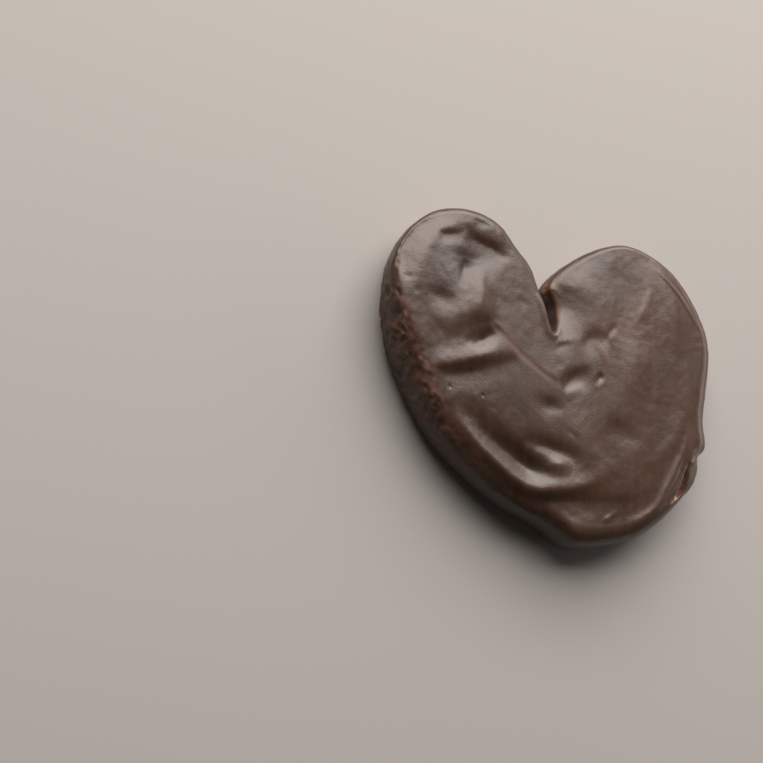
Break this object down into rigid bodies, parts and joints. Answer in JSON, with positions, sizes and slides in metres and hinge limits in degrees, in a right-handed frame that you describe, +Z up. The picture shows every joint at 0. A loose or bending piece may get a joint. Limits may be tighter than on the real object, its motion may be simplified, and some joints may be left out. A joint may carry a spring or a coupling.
{
  "type": "palmier pastry",
  "caption": "Heart-shaped palmier of rolled puff pastry lying flat, its face and sides dipped in dark chocolate, the underside bare.",
  "frame": {"origin": "on the resting surface, under the middle of the pastry", "axes": "+Z up out of the dipped face, +Y from the point of the heart towards its two lobes, +X to the right seen from above"},
  "size_m": [0.1328, 0.1242, 0.0248],
  "materials": {
    "puff_pastry": "baked, dry, flaky",
    "dark_chocolate": "set couverture, satin"
  },
  "bodies": {
    "root": {"pastry": "puff_pastry", "chocolate_coat": "dark_chocolate"}
  },
  "joints": []
}
